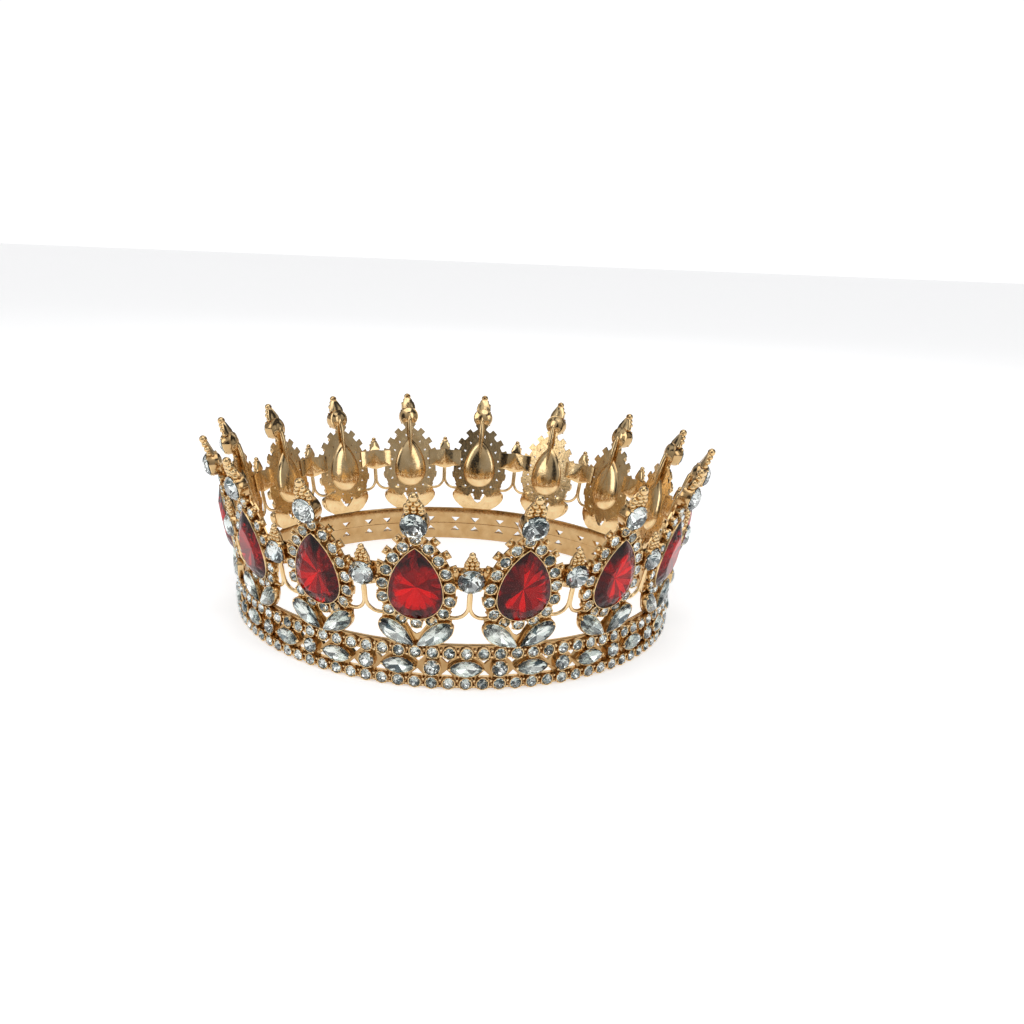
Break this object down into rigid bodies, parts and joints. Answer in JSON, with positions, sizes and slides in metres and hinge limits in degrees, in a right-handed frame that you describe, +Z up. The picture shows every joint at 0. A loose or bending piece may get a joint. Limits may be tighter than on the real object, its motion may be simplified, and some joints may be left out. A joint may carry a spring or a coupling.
{
  "type": "crown",
  "caption": "Full-round gold-plated crown with red pear stones in clear halos on a pierced stone-set band, each spire ending in a clear stone finial.",
  "frame": {"origin": "centre of the band's lower edge, on the plane the crown rests on", "axes": "+Z up along the ring's axis, -Y towards the first spire, +X to the right seen from that spire"},
  "size_m": [0.18, 0.18, 0.0625],
  "materials": {
    "gold_plate": "bright polished yellow gold plating on cast metal, a little warmer and duller inside the ring",
    "ruby_glass": "deep red faceted foil-backed glass",
    "clear_crystal": "clear faceted foil-backed rhinestone with grey-blue and white flashes"
  },
  "bodies": {
    "root": {"base_band": "gold_plate", "upper_rail_settings": "gold_plate", "lower_rail_settings": "gold_plate", "upper_rail_stones": "clear_crystal", "lower_rail_stones": "clear_crystal", "band_marquise_stones": "clear_crystal", "band_round_stones": "clear_crystal", "connectors": "gold_plate", "connector_stones": "clear_crystal", "leaf_stones": "clear_crystal", "halo_stones": "clear_crystal", "finial_stones": "clear_crystal", "pear_panel_01": "gold_plate", "pear_panel_02": "gold_plate", "pear_panel_03": "gold_plate", "pear_panel_04": "gold_plate", "pear_panel_05": "gold_plate", "pear_panel_06": "gold_plate", "pear_panel_07": "gold_plate", "pear_panel_08": "gold_plate", "pear_panel_09": "gold_plate", "pear_panel_10": "gold_plate", "pear_panel_11": "gold_plate", "pear_panel_12": "gold_plate", "pear_panel_13": "gold_plate", "pear_panel_14": "gold_plate", "pear_panel_15": "gold_plate", "pear_panel_16": "gold_plate", "pear_stone_01": "ruby_glass", "pear_stone_02": "ruby_glass", "pear_stone_03": "ruby_glass", "pear_stone_04": "ruby_glass", "pear_stone_05": "ruby_glass", "pear_stone_06": "ruby_glass", "pear_stone_07": "ruby_glass", "pear_stone_08": "ruby_glass", "pear_stone_09": "ruby_glass", "pear_stone_10": "ruby_glass", "pear_stone_11": "ruby_glass", "pear_stone_12": "ruby_glass", "pear_stone_13": "ruby_glass", "pear_stone_14": "ruby_glass", "pear_stone_15": "ruby_glass", "pear_stone_16": "ruby_glass", "finial_01": "gold_plate", "finial_02": "gold_plate", "finial_03": "gold_plate", "finial_04": "gold_plate", "finial_05": "gold_plate", "finial_06": "gold_plate", "finial_07": "gold_plate", "finial_08": "gold_plate", "finial_09": "gold_plate", "finial_10": "gold_plate", "finial_11": "gold_plate", "finial_12": "gold_plate", "finial_13": "gold_plate", "finial_14": "gold_plate", "finial_15": "gold_plate", "finial_16": "gold_plate"}
  },
  "joints": []
}
